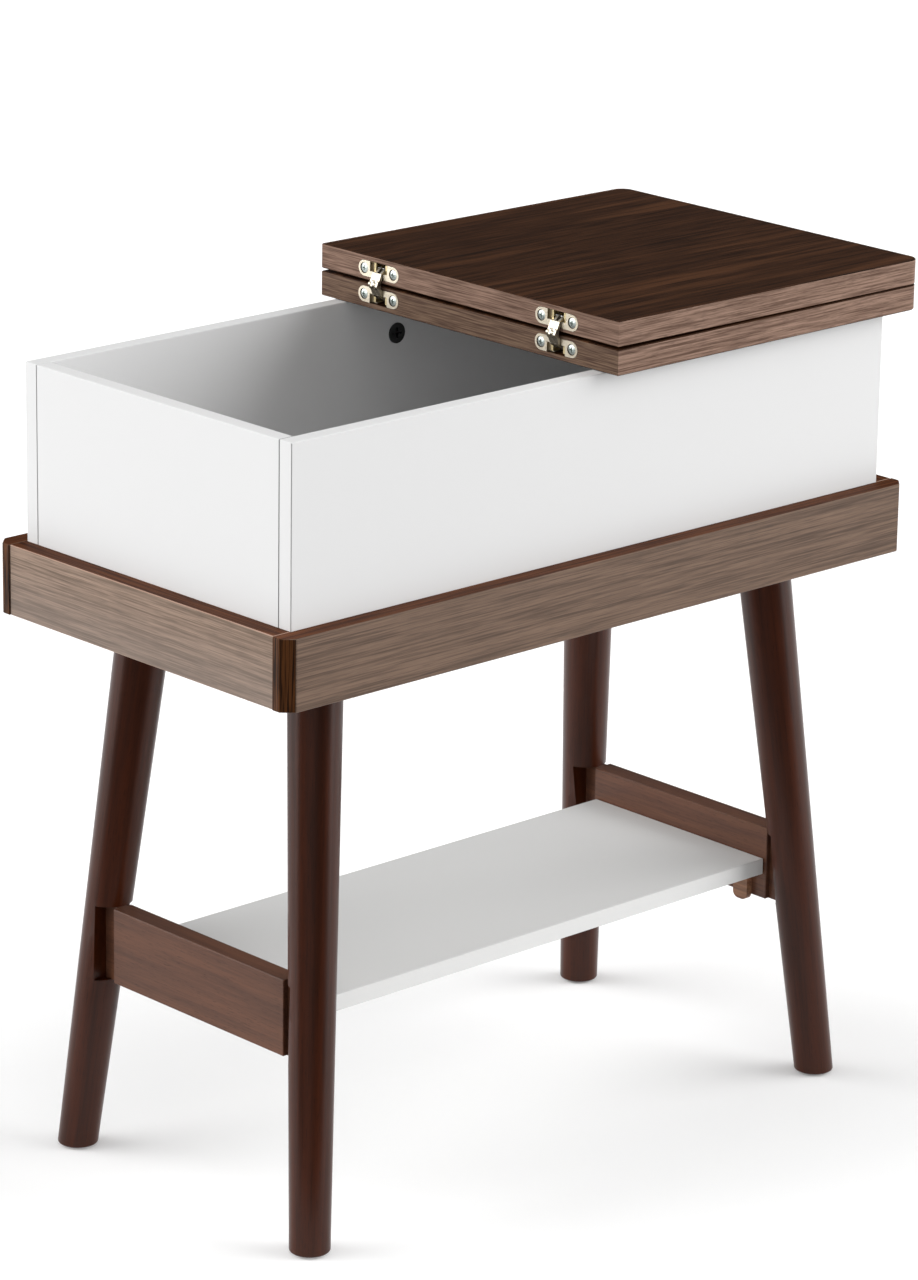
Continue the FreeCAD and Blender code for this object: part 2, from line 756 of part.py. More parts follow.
def hinge_body(middle):
    """Lower hinge body: a plate with two ears, a wide shallow pocket and a cup in the leaf.

    The pocket is open at the plate's far edge, and its floor is the flange round the cup. The
    cup is open above and below between its cheeks, where the links swing.
    """
    bridge_end = -(plate_near + hinge_bridge)
    back = -(cup_depth + cup_wall)
    hollow_half = cup_width / 2 - cup_wall
    plate = plate_outline(0, hinge_plate_thickness, middle)
    flange = hinge_box(-hinge_plate_thickness, -(pocket_depth + cup_wall), pocket_width / 2 + cup_wall,
                       -plate_near, -plate_far, middle)
    pocket = hinge_box(1, -pocket_depth, pocket_width / 2, bridge_end, -(plate_far + 1), middle)
    slot = hinge_box(1, back, channel_half, -(plate_near - 1), bridge_end, middle)
    screw_holes = []
    for side in (-1, 1):
        tip, head = hinge_screw_run(side, middle)
        screw_holes.append(countersunk_bore(tip, head, *hinge_screw_sizes))
        screw_holes.append(rod(head, head + Vector(-1, 0, 0), mouth_radius))
    plate = cut_all(plate, [pocket, slot] + screw_holes)
    cup = hinge_box(-hinge_plate_thickness, back, cup_width / 2, -plate_near, -plate_far, middle)
    hollow = hinge_box(0, -cup_depth, hollow_half, cheek_near, cheek_far, middle)
    channel = hinge_box(0, -cup_depth, channel_half, -(plate_near - 1), -(plate_far + 1), middle)
    cup = cut_all(cup.fuse(flange), [hollow, channel, pocket])
    return plate.fuse(cup).cut(cross_pin(fixed_pin, pin_reach, middle, pin_play))


def hinge_cheeks(middle):
    """Two upright plates in the lower cup, slotted for the slider pin of the upper link."""
    slots = []
    for start, end in runs_of(slider_in_lower_cup, cup_slot_steps):
        slots.append(capsule(start, end, pin_radius + slot_play, -pin_reach, pin_reach, middle))
    cheeks = []
    for side in (-1, 1):
        low = at_hinge(-hinge_plate_thickness, side * channel_half, cheek_near, middle)
        high = at_hinge(-cup_depth, side * pin_reach, cheek_far, middle)
        cheek = box_between(low.x, high.x, low.y, high.y, low.z, high.z)
        cheeks.append(cut_all(cheek, slots))
    return cheeks


def hinge_screws(middle):
    """The two screws of a lower hinge plate."""
    screws = []
    for side in (-1, 1):
        tip, head = hinge_screw_run(side, middle)
        screws.append(countersunk(tip, head, *hinge_screw_sizes, crown=hinge_screw_crown))
    return screws


def hinge_mortise(middle):
    """Everything that is cut from the lower leaf for one hinge."""
    v0 = -(plate_near - mortise_play)
    v1 = -(plate_far + mortise_play)
    deep = -(cup_depth + cup_wall + mortise_play)
    tools = [
        plate_outline(mortise_play, hinge_plate_thickness, middle),
        hinge_box(1, -(pocket_depth + cup_wall + mortise_play), pocket_width / 2 + cup_wall + mortise_play,
                  v0, v1, middle),
        hinge_box(1, deep, cup_width / 2 + mortise_play, v0, v1, middle),
    ]
    for side in (-1, 1):
        tip, head = hinge_screw_run(side, middle)
        tools.append(rod(tip - Vector(-dowel_play, 0, 0), head, hinge_screw_radius + dowel_play))
    return tools


def droop(shape):
    """The folding leaf's slight tilt about the fold axis when it lies on the fixed leaf."""
    tilted = shape.copy()
    tilted.rotate(at_hinge(fold_axis[0], 0, fold_axis[1], 0), Vector(0, 1, 0), leaf_droop_deg)
    return tilted


# ---------------------------------------------------------------- leaves
def plain_leaf():
    """Fixed leaf before it is cut: square at the hinges, rounded at the far corners."""
    half = leaf_depth / 2
    board = box_between(leaf_reach, seam_half, -half, half, lid_bottom, lid_bottom + leaf_thickness)
    far = [edge for edge in board.Edges
           if edge.BoundBox.ZLength > leaf_thickness / 2 and edge.BoundBox.XMin > leaf_reach / 2]
    board = board.makeFillet(leaf_corner_radius, far)
    level = [edge for edge in board.Edges if edge.BoundBox.ZLength < leaf_thickness / 2]
    return board.makeChamfer(leaf_arris, level)


def mortised_leaf():
    """Leaf with the mortises of both hinges, before the bores for the cam bolts."""
    tools = []
    for middle in (-hinge_y, hinge_y):
        tools += hinge_mortise(middle)
    return cut_all(plain_leaf(), tools)


def fixed_leaf():
    """Leaf that stays on the right half of the box."""
    tools = [cam_bolt(seat, inward, cam_bolt_radius + dowel_play, dowel_play) for seat, inward in cam_seats()]
    return cut_all(mortised_leaf(), tools)


def mirrored(shape):
    """Mirror image above the plane between the folded leaves."""
    return shape.mirror(Vector(0, 0, fold_plane), Vector(0, 0, 1))


# ---------------------------------------------------------------- all pieces
def hinge_pair(make):
    """The same hinge piece at both hinges, as a list of solids."""
    solids = []
    for middle in (-hinge_y, hinge_y):
        made = make(middle)
        solids += made if isinstance(made, list) else [made]
    return solids


def lower_links(middle):
    """Plates of the lower link of one hinge."""
    return [link_plate(y, middle, False) for y in lower_link_slots]


def upper_links(middle):
    """Plates of the upper link: the lower link's, half a turn round, with slots for the centre pin."""
    return [half_turn(link_plate(-y, middle, True), middle) for y in upper_link_slots]


def main():
    os.makedirs("parts", exist_ok=True)

    save("fixed_leaf", fixed_leaf())
    save("flip_leaf", droop(mirrored(mortised_leaf())))

    save("apron_front", apron_long_board(-1))
    save("apron_back", apron_long_board(1))
    save("apron_left", apron_end_board(-1))
    save("apron_right", apron_end_board(1))
    save("apron_dowels", dowels(apron_dowel_seats()))
    save("apron_screws", apron_screws())

    save("box_front_panel", long_panel(-1))
    save("box_back_panel", long_panel(1))
    save("box_left_panel", end_panel(-1))
    save("box_right_panel", end_panel(1))
    save("box_bottom_panel", bottom_panel())
    save("panel_dowels", dowels(panel_dowel_seats()))
    save("bottom_dowels", dowels(bottom_dowel_seats()))
    save("cam_locks", group([cam_lock(seat, inward) for seat, inward in cam_seats()]))
    save("cam_bolts", group([cam_bolt(seat, inward, cam_bolt_radius, 0) for seat, inward in cam_seats()]))

    side_names = {-1: "left", 1: "right"}
    depth_names = {-1: "front", 1: "back"}
    for sx, sy in corners:
        save("leg_" + depth_names[sy] + "_" + side_names[sx], leg(sx, sy))
    save("leg_plates", group([leg_plate(sx, sy) for sx, sy in corners]))
    plate_screws = [plate_screw(point) for sx, sy in corners for point in plate_screw_points(sx, sy)]
    save("leg_plate_screws", group(plate_screws))
    save("hanger_bolts", group([hanger_bolt(sx, sy, hanger_radius) for sx, sy in corners]))
    save("foot_glides", group([foot_glide(sx, sy) for sx, sy in corners]))

    save("stretcher_left", stretcher(-1))
    save("stretcher_right", stretcher(1))
    save("stretcher_dowels", dowels(stretcher_dowel_seats()))
    save("shelf", shelf())
    save("shelf_supports", group([shelf_support(sx, sy) for sx, sy in corners]))
    save("shelf_dowels", dowels(shelf_dowel_seats()))

    both = {
        "hinge_bodies": group(hinge_pair(hinge_body)),
        "hinge_cheeks": group(hinge_pair(hinge_cheeks)),
        "hinge_screws": group(hinge_pair(hinge_screws)),
        "fixed_pins": group(hinge_pair(lambda middle: cross_pin(fixed_pin, pin_reach, middle))),
    }
    for node, shape in both.items():
        save(node + "_lower", shape)
        save(node + "_upper", droop(mirrored(shape)))
    link_reach = 2 * link_pitch - link_play / 2
    sliders = group(hinge_pair(lambda middle: cross_pin(slider_point, pin_reach, middle)))
    save("lower_links", group(hinge_pair(lower_links)))
    save("centre_pins", group(hinge_pair(lambda middle: cross_pin(centre_pin, link_reach, middle))))
    save("slider_pins_upper", sliders)
    save("upper_links", droop(group(hinge_pair(upper_links))))
    save("slider_pins_lower", droop(mirrored(sliders)))


main()
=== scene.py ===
"""Fold-top end table: finishes, floor, light and camera.

Everything is in metres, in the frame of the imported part: +Z up, the front is -Y, and the
origin is on the floor under the middle of the table. The part's pieces have all the shapes,
and nothing is added to them here.
"""

import json
import math

import bpy
from mathutils import Matrix, Vector

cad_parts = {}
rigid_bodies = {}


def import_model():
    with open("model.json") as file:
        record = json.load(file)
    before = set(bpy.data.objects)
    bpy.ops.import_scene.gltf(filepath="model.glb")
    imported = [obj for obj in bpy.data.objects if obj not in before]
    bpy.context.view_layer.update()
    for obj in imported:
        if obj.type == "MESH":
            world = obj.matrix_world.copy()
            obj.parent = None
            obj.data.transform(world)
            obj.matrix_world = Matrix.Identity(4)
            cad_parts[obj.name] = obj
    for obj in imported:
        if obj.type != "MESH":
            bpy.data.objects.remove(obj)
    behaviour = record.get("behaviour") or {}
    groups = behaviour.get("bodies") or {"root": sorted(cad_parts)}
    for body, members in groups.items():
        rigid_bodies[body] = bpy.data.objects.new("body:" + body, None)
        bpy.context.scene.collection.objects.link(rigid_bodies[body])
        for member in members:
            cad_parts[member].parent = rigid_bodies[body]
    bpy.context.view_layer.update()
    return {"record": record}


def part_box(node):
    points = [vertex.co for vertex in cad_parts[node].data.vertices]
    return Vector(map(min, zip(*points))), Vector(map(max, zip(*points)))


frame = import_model()

# ---------------------------------------------------------------- camera
camera_azimuth = math.radians(43.18)
camera_fall = math.radians(17.43)
camera_roll = math.radians(0.86)
camera_aim = Vector((-0.0035, 0.0, 0.294))
camera_right = -0.0001
camera_up = 0.0569
camera_distance = 3.6419
camera_lens = 201.86
camera_sensor = 36.0
camera_clip_end = 100
level_ahead = Vector((math.sin(camera_azimuth), math.cos(camera_azimuth), 0))
level_right = Vector((math.cos(camera_azimuth), -math.sin(camera_azimuth), 0))

# ---------------------------------------------------------------- floor
floor_reach = 14.0
floor_near = 0.42
floor_colour = "eeeeee"
# The floor's glow is painted light, weaker near the table as a painted darker pool.
floor_glow_near = 0.105
floor_glow_far = 0.24
glow_starts = 0.20
glow_full = 0.48
glow_shift = 0.12

# ---------------------------------------------------------------- light
sky_beside = 1.10
sky_before = 0.14
sky_behind = 0.12
sky_above = 0.60
sky_before_full = -0.45
sky_behind_starts = 0.3
sky_behind_full = 0.9
sky_above_starts = 0.5
key_strength = 2.9
fill_strength = 3.0
side_rise = 0.28
side_angle = math.radians(56)
front_from = Vector((-0.85, -0.50, 0.62))
front_strength = 0.75
front_angle = math.radians(90)

# ---------------------------------------------------------------- sizes that patterns follow
leg_height = 0.3985
leg_slope_x = 0.0348 / leg_height
leg_slope_y = 0.0371 / leg_height
edge_stretch = 0.03
end_panel_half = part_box("box_left_panel")[1][1]
apron_half_depth = -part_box("apron_front")[0][1]
apron_low, apron_high = [corner[2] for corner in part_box("apron_front")]
hinge_y = 0.090
hinge_screw_reach = 0.015
hinge_screw_boxes = [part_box(name) for name in ("hinge_screws_lower", "hinge_screws_upper")]
hinge_screw_z = [sum(corner[2] for corner in box) / 2 for box in hinge_screw_boxes]
# Radii of the ring of painted shade round each hinge screw's head.
screw_ring_full = 0.0038
screw_ring_ends = 0.0041

# A face counts as looking along an axis where its normal has more than this share along it.
looks_along = 0.5

# ---------------------------------------------------------------- sizes of fine detail
# A dark line at a board's edge starts this far in from its face, and is full this far in.
border_starts = 0.0009
border_full = 0.0004
joint_starts = 0.0008
joint_full = 0.0002

foil_pore_depth = 0.00006
lacquer_pore_depth = 0.00005
pearl_depth = 0.00003
pearl_per_metre = 1600.0
skin_depth = 0.00003
skin_per_metre = 2500.0

# ---------------------------------------------------------------- settings of nodes
# A Mix node's sockets are its factor (0), two numbers (2 and 3), two vectors (4 and 5) and two
# colours (6 and 7), and its outputs are the number, the vector and the colour (0 to 2).
mix_numbers = {"data_type": "FLOAT"}
mix_vectors = {"data_type": "VECTOR"}
mix_colours = {"data_type": "RGBA"}
smooth = {"interpolation_type": "SMOOTHSTEP"}
absolute = {"operation": "ABSOLUTE"}
subtract = {"operation": "SUBTRACT"}
multiply = {"operation": "MULTIPLY"}
multiply_add = {"operation": "MULTIPLY_ADD"}


# ---------------------------------------------------------------- small helpers
def linear(code):
    """Linear colour of a hexadecimal sRGB code, with full alpha."""
    channels = [int(code[i:i + 2], 16) / 255 for i in (0, 2, 4)]
    return [c / 12.92 if c <= 0.04045 else ((c + 0.055) / 1.055) ** 2.4 for c in channels] + [1.0]


def add(tree, kind, settings=None, sockets=None, out=0):
    """Add one shader node and give back one of its outputs.

    A socket takes a plain value, or another node's output to link.
    """
    made = tree.nodes.new("ShaderNode" + kind)
    for name, value in (settings or {}).items():
        setattr(made, name, value)
    for key, value in (sockets or {}).items():
        if isinstance(value, bpy.types.NodeSocket):
            tree.links.new(value, made.inputs[key])
        else:
            made.inputs[key].default_value = value
    return made.outputs[out] if len(made.outputs) else made


def new_material(name):
    """Empty material, with its node tree."""
    material = bpy.data.materials.new(name)
    material.use_nodes = True
    material.node_tree.nodes.clear()
    return material, material.node_tree


def surface(tree, sockets):
    """Principled surface as the material's output."""
    shader = add(tree, "BsdfPrincipled", None, sockets)
    add(tree, "OutputMaterial", None, {"Surface": shader})


# ---------------------------------------------------------------- where a pattern lies
def place(tree):
    """X, Y and Z in the table's frame, as the outputs of one node."""
    coordinates = add(tree, "TexCoord", None, None, "Object")
    return add(tree, "SeparateXYZ", None, {0: coordinates}).node.outputs


def facing(tree, axis):
    """How squarely a face looks along an axis: 1 where its normal lies along it."""
    normal = add(tree, "TexCoord", None, None, "Normal")
    along = add(tree, "SeparateXYZ", None, {0: normal}, axis)
    return add(tree, "Math", absolute, {0: along})


def folded(tree, value, steps):
    """A coordinate folded about each step in turn, so that mirrored places fall together."""
    for step in steps:
        off = add(tree, "Math", subtract, {0: value, 1: step})
        value = add(tree, "Math", absolute, {0: off})
    return value


def leaf_grain(tree):
    """Grain along X on the broad faces, and round the leaf on its upright edges."""
    x, y, z = place(tree)
    upright = add(tree, "Math", {"operation": "LESS_THAN"}, {0: facing(tree, 2), 1: looks_along})
    slow_y = add(tree, "Math", multiply, {0: y, 1: edge_stretch})
    broad = add(tree, "CombineXYZ", None, {0: x, 1: y, 2: z})
    edge = add(tree, "CombineXYZ", None, {0: x, 1: slow_y, 2: z})
    return add(tree, "Mix", mix_vectors, {0: upright, 4: broad, 5: edge}, 1), upright


def long_board_grain(tree):
    """Grain along X, and upright on the board's ends and cut corners."""
    x, y, z = place(tree)
    end = add(tree, "Math", {"operation": "GREATER_THAN"}, {0: facing(tree, 0), 1: looks_along})
    along = add(tree, "CombineXYZ", None, {0: x, 1: y, 2: z})
    upright = add(tree, "CombineXYZ", None, {0: z, 1: x, 2: y})
    return add(tree, "Mix", mix_vectors, {0: end, 4: along, 5: upright}, 1), end


def cross_board_grain(tree):
    """Grain along Y."""
    x, y, z = place(tree)
    return add(tree, "CombineXYZ", None, {0: y, 1: x, 2: z})


def leg_grain(side_x, side_y):
    """Maker of the grain along one splayed leg."""
    def grain(tree):
        x, y, z = place(tree)
        straight_x = add(tree, "Math", multiply_add, {0: z, 1: side_x * leg_slope_x, 2: x})
        straight_y = add(tree, "Math", multiply_add, {0: z, 1: side_y * leg_slope_y, 2: y})
        return add(tree, "CombineXYZ", None, {0: z, 1: straight_x, 2: straight_y})
    return grain


def streaks(tree, grain, along_mm, across_mm, detail=2.0):
    """Noise drawn out along the grain, in streaks of a real length and width."""
    pitch = (1000 / along_mm, 1000 / across_mm, 1000 / across_mm)
    scaled = add(tree, "VectorMath", multiply, {0: grain, 1: pitch})
    sockets = {"Vector": scaled, "Scale": 1.0, "Detail": detail, "Roughness": 0.55}
    return add(tree, "TexNoise", None, sockets)


def marks(tree, grain, along_mm, across_mm, low, high, detail=2.0):
    """Streaks with edges: 0 where their noise is under low, and 1 where it is over high."""
    noise = streaks(tree, grain, along_mm, across_mm, detail)
    return add(tree, "MapRange", smooth, {"Value": noise, "From Min": low, "From Max": high})


def stained(tree, colour, share, code, strength):
    """A colour with another laid over it where the share is high."""
    thin = add(tree, "Math", multiply, {0: share, 1: strength})
    return add(tree, "Mix", mix_colours, {0: thin, 6: colour, 7: linear(code)}, 2)


# ---------------------------------------------------------------- wood finishes
def printed_grain(tree, grain, dark, light, pore):
    """Colour, gloss and relief of a printed wood-grain foil.

    Close lines 1 mm wide and 45 mm long carry the grain on soft bands 3.5 mm wide. Dark pores
    0.5 mm wide and 14 mm long are pressed into the film, which is glossier on the light lines.
    """
    bands = streaks(tree, grain, along_mm=260, across_mm=3.5, detail=1.0)
    lines = streaks(tree, grain, along_mm=45, across_mm=1.0)
    blend = add(tree, "Mix", mix_numbers, {0: 0.70, 2: bands, 3: lines})
    tone = add(tree, "MapRange", smooth, {"Value": blend, "From Min": 0.27, "From Max": 0.73})
    colour = add(tree, "Mix", mix_colours, {0: tone, 6: linear(dark), 7: linear(light)}, 2)
    pores = marks(tree, grain, along_mm=14, across_mm=0.5, low=0.52, high=0.70, detail=1.0)
    colour = stained(tree, colour, pores, pore, strength=0.30)
    height = add(tree, "Math", multiply, {0: pores, 1: -1.0})
    bump = add(tree, "Bump", None,
               {"Strength": 0.4, "Distance": foil_pore_depth, "Height": height})
    gloss = add(tree, "MapRange", smooth, {"Value": lines, "From Min": 0.3, "From Max": 0.7,
                                           "To Min": 0.46, "To Max": 0.38})
    return colour, gloss, bump


def leaf_laminate(name, dark, light):
    """Walnut foil: nearly black-brown on the broad faces, greyer and finer on the edge band.

    The broad faces' figure is in soft brown streaks 14 mm wide, with darker veins between. The
    band runs from the dark to the light colour on the edges that look along X.
    """
    material, tree = new_material(name)
    grain, upright = leaf_grain(tree)
    top, gloss, bump = printed_grain(tree, grain, "150803", "432816", "0e0602")
    figure = marks(tree, grain, along_mm=260, across_mm=14, low=0.48, high=0.70)
    top = stained(tree, top, figure, "5b3a24", strength=0.50)
    veins = marks(tree, grain, along_mm=150, across_mm=3, low=0.56, high=0.70)
    top = stained(tree, top, veins, "120803", strength=0.70)
    bands = marks(tree, grain, along_mm=40, across_mm=1.0, low=0.30, high=0.70, detail=3.0)
    side = add(tree, "Mix", mix_colours, {0: bands, 6: linear("624b3f"), 7: linear("9a7e6e")}, 2)
    ends = add(tree, "Mix", mix_colours, {0: bands, 6: linear(dark), 7: linear(light)}, 2)
    edge = add(tree, "Mix", mix_colours, {0: facing(tree, 0), 6: side, 7: ends}, 2)
    fine = marks(tree, grain, along_mm=8, across_mm=0.6, low=0.52, high=0.70, detail=1.0)
    edge = stained(tree, edge, fine, "40302a", strength=0.35)
    colour = add(tree, "Mix", mix_colours, {0: upright, 6: top, 7: edge}, 2)
    surface(tree, {"Base Color": colour, "Roughness": gloss, "Normal": bump,
                   "Specular IOR Level": 0.04})
    return material


def end_face_with_arris_highlight(tree, face, level):
    """An end board's face, greyer towards its lower edge, with a painted highlight along its outer
    arris.
    """
    height = place(tree)[2]
    low = add(tree, "MapRange", smooth, {"Value": height, "From Min": apron_low,
                                         "From Max": apron_high, "To Min": 1.0, "To Max": 0.0})
    face = stained(tree, face, low, "7b7470", strength=0.35)
    # Painted highlight: the outer arris is tinted paler, where the light catches it.
    arris = add(tree, "MapRange", smooth, {"Value": level, "From Min": 0.30, "From Max": 0.60})
    return stained(tree, face, arris, "b5937f", strength=0.8)


def cut_corner(tree, grain):
    """Red-brown film of a cut corner, which ends in a dark line."""
    lines = marks(tree, grain, along_mm=40, across_mm=1.2, low=0.38, high=0.62)
    cut = add(tree, "Mix", mix_colours, {0: lines, 6: linear("1d0e06"), 7: linear("5a3519")}, 2)
    off = add(tree, "Math", absolute, {0: place(tree)[1]})
    border = add(tree, "MapRange", smooth, {"Value": off,
                                            "From Min": apron_half_depth - border_starts,
                                            "From Max": apron_half_depth - border_full})
    return stained(tree, cut, border, "120805", strength=0.8)


def apron_foil(name, is_end, dark, light):
    """Grey-brown foil pressed on a board's faces, and duller red-brown film on its top."""
    material, tree = new_material(name)
    if is_end:
        grain = cross_board_grain(tree)
    else:
        grain, cut = long_board_grain(tree)
    face, gloss, bump = printed_grain(tree, grain, dark, light, "4a423e")
    level = facing(tree, 2)
    if is_end:
        face = end_face_with_arris_highlight(tree, face, level)
    else:
        face = add(tree, "Mix", mix_colours, {0: cut, 6: face, 7: cut_corner(tree, grain)}, 2)
    upper = add(tree, "MapRange", smooth, {"Value": level, "From Min": 0.80, "From Max": 0.90})
    lines = marks(tree, grain, along_mm=60, across_mm=1.0, low=0.35, high=0.65)
    top = add(tree, "Mix", mix_colours, {0: lines, 6: linear("3a1a08"), 7: linear("64381c")}, 2)
    colour = add(tree, "Mix", mix_colours, {0: upper, 6: face, 7: top}, 2)
    gloss = add(tree, "Mix", mix_numbers, {0: upper, 2: gloss, 3: 0.65})
    surface(tree, {"Base Color": colour, "Roughness": gloss, "Normal": bump,
                   "Specular IOR Level": 0.11})
    return material


def lacquered_wood(name, grain_of, dark, light, pore):
    """Solid wood stained red-brown under a satin lacquer: long soft streaks and faint pores."""
    material, tree = new_material(name)
    grain = grain_of(tree)
    bands = streaks(tree, grain, along_mm=170, across_mm=8)
    lines = streaks(tree, grain, along_mm=45, across_mm=1.3)
    blend = add(tree, "Mix", mix_numbers, {0: 0.35, 2: bands, 3: lines})
    tone = add(tree, "MapRange", smooth, {"Value": blend, "From Min": 0.34, "From Max": 0.66})
    colour = add(tree, "Mix", mix_colours, {0: tone, 6: linear(dark), 7: linear(light)}, 2)
    pores = marks(tree, grain, along_mm=7, across_mm=0.5, low=0.58, high=0.72, detail=1.0)
    colour = stained(tree, colour, pores, pore, strength=0.5)
    height = add(tree, "Math", multiply, {0: pores, 1: -1.0})
    bump = add(tree, "Bump", None,
               {"Strength": 0.25, "Distance": lacquer_pore_depth, "Height": height})
    surface(tree, {"Base Color": colour, "Roughness": 0.30, "Normal": bump,
                   "Specular IOR Level": 0.25})
    return material


def bare_wood(name, grain_of, dark, light):
    """Unlacquered wood of small blocks and dowels: dull, with a straight close grain."""
    material, tree = new_material(name)
    tone = marks(tree, grain_of(tree), along_mm=50, across_mm=1.5, low=0.35, high=0.65, detail=3.0)
    colour = add(tree, "Mix", mix_colours, {0: tone, 6: linear(dark), 7: linear(light)}, 2)
    surface(tree, {"Base Color": colour, "Roughness": 0.6})
    return material


# ---------------------------------------------------------------- other finishes
def white_melamine(name, face, joint_at=None):
    """White melamine-faced board: a satin film with a pearl texture pressed into it.

    Upright arrises are painted greyer, as shade along the seams, and an end panel ends in a thin
    grey joint line.
    """
    material, tree = new_material(name)
    coordinates = add(tree, "TexCoord", None, None, "Object")
    pearl = add(tree, "TexNoise", None,
                {"Vector": coordinates, "Scale": pearl_per_metre, "Detail": 1.0})
    bump = add(tree, "Bump", None, {"Strength": 0.12, "Distance": pearl_depth, "Height": pearl})
    level = add(tree, "MapRange", smooth,
                {"Value": facing(tree, 2), "From Min": 0.1, "From Max": 0.3})
    flat = add(tree, "Math", {"operation": "MAXIMUM"}, {0: facing(tree, 0), 1: facing(tree, 1)})
    square = add(tree, "MapRange", smooth, {"Value": flat, "From Min": 0.85, "From Max": 0.95})
    even = add(tree, "Math", {"operation": "MAXIMUM"}, {0: square, 1: level})
    # Painted shade: upright arrises are greyed.
    colour = add(tree, "Mix", mix_colours, {0: even, 6: linear("b8b8b8"), 7: linear(face)}, 2)
    if joint_at is not None:
        off = add(tree, "Math", absolute, {0: place(tree)[1]})
        joint = add(tree, "MapRange", smooth, {"Value": off, "From Min": joint_at - joint_starts,
                                               "From Max": joint_at - joint_full})
        colour = stained(tree, colour, joint, "8c8c8c", strength=1.0)
    surface(tree, {"Base Color": colour, "Roughness": 0.5, "Normal": bump,
                   "Specular IOR Level": 0.4})
    return material


def tumbled_gloss(tree, roughness):
    """Roughness of a tumbled metal part, a little uneven in short strokes."""
    coordinates = add(tree, "TexCoord", None, None, "Object")
    strokes = streaks(tree, coordinates, along_mm=5, across_mm=0.6)
    return add(tree, "MapRange", smooth, {"Value": strokes, "From Min": 0.3, "From Max": 0.7,
                                          "To Min": roughness - 0.06, "To Max": roughness + 0.08})


def tumbled_metal(name, code, roughness):
    """Small steel or brass part: tumbling and plating leave its gloss a little uneven."""
    material, tree = new_material(name)
    surface(tree, {"Base Color": linear(code), "Metallic": 1.0,
                   "Roughness": tumbled_gloss(tree, roughness)})
    return material


def link_steel(name, code, underside_shade):
    """Stamped and plated link: bright where it looks up, darker, browner and rougher where it
    looks down, as painted shade.
    """
    material, tree = new_material(name)
    normal = add(tree, "TexCoord", None, None, "Normal")
    upward = add(tree, "SeparateXYZ", None, {0: normal}, 2)
    # Painted shade on faces that look down.
    lower = add(tree, "MapRange", smooth, {"Value": upward, "From Min": -0.55, "From Max": -0.15,
                                           "To Min": 1.0, "To Max": 0.0})
    colour = add(tree, "Mix", mix_colours, {0: lower, 6: linear(code), 7: linear(underside_shade)}, 2)
    gloss = add(tree, "MapRange", smooth, {"Value": lower, "To Min": 0.40, "To Max": 0.55})
    surface(tree, {"Base Color": colour, "Metallic": 1.0, "Roughness": gloss})
    return material


def hinge_plate(name, code, ring_shade, roughness):
    """Satin nickel plate, with a ring of painted shade round each screw's head.

    All the screws are at one place once the coordinates are folded about the table's middle,
    each hinge's middle and each screw.
    """
    material, tree = new_material(name)
    coordinates = place(tree)
    middle = sum(hinge_screw_z) / 2
    across = folded(tree, coordinates[1], (0.0, hinge_y, hinge_screw_reach))
    rise = folded(tree, coordinates[2], (middle, hinge_screw_z[1] - middle))
    offset = add(tree, "CombineXYZ", None, {0: across, 1: rise})
    radius = add(tree, "VectorMath", {"operation": "LENGTH"}, {0: offset}, "Value")
    # Painted shade in the gap round each screw's head.
    screw_ring_shade = add(tree, "MapRange", smooth, {"Value": radius, "From Min": screw_ring_full,
                                            "From Max": screw_ring_ends,
                                            "To Min": 1.0, "To Max": 0.0})
    colour = add(tree, "Mix", mix_colours, {0: screw_ring_shade, 6: linear(code), 7: linear(ring_shade)}, 2)
    surface(tree, {"Base Color": colour, "Metallic": 1.0,
                   "Roughness": tumbled_gloss(tree, roughness)})
    return material


def moulded_plastic(name, code, roughness):
    """Moulded plastic with a fine spark-eroded skin."""
    material, tree = new_material(name)
    coordinates = add(tree, "TexCoord", None, None, "Object")
    skin = add(tree, "TexNoise", None,
               {"Vector": coordinates, "Scale": skin_per_metre, "Detail": 1.0})
    bump = add(tree, "Bump", None, {"Strength": 0.3, "Distance": skin_depth, "Height": skin})
    surface(tree, {"Base Color": linear(code), "Roughness": roughness, "Normal": bump})
    return material


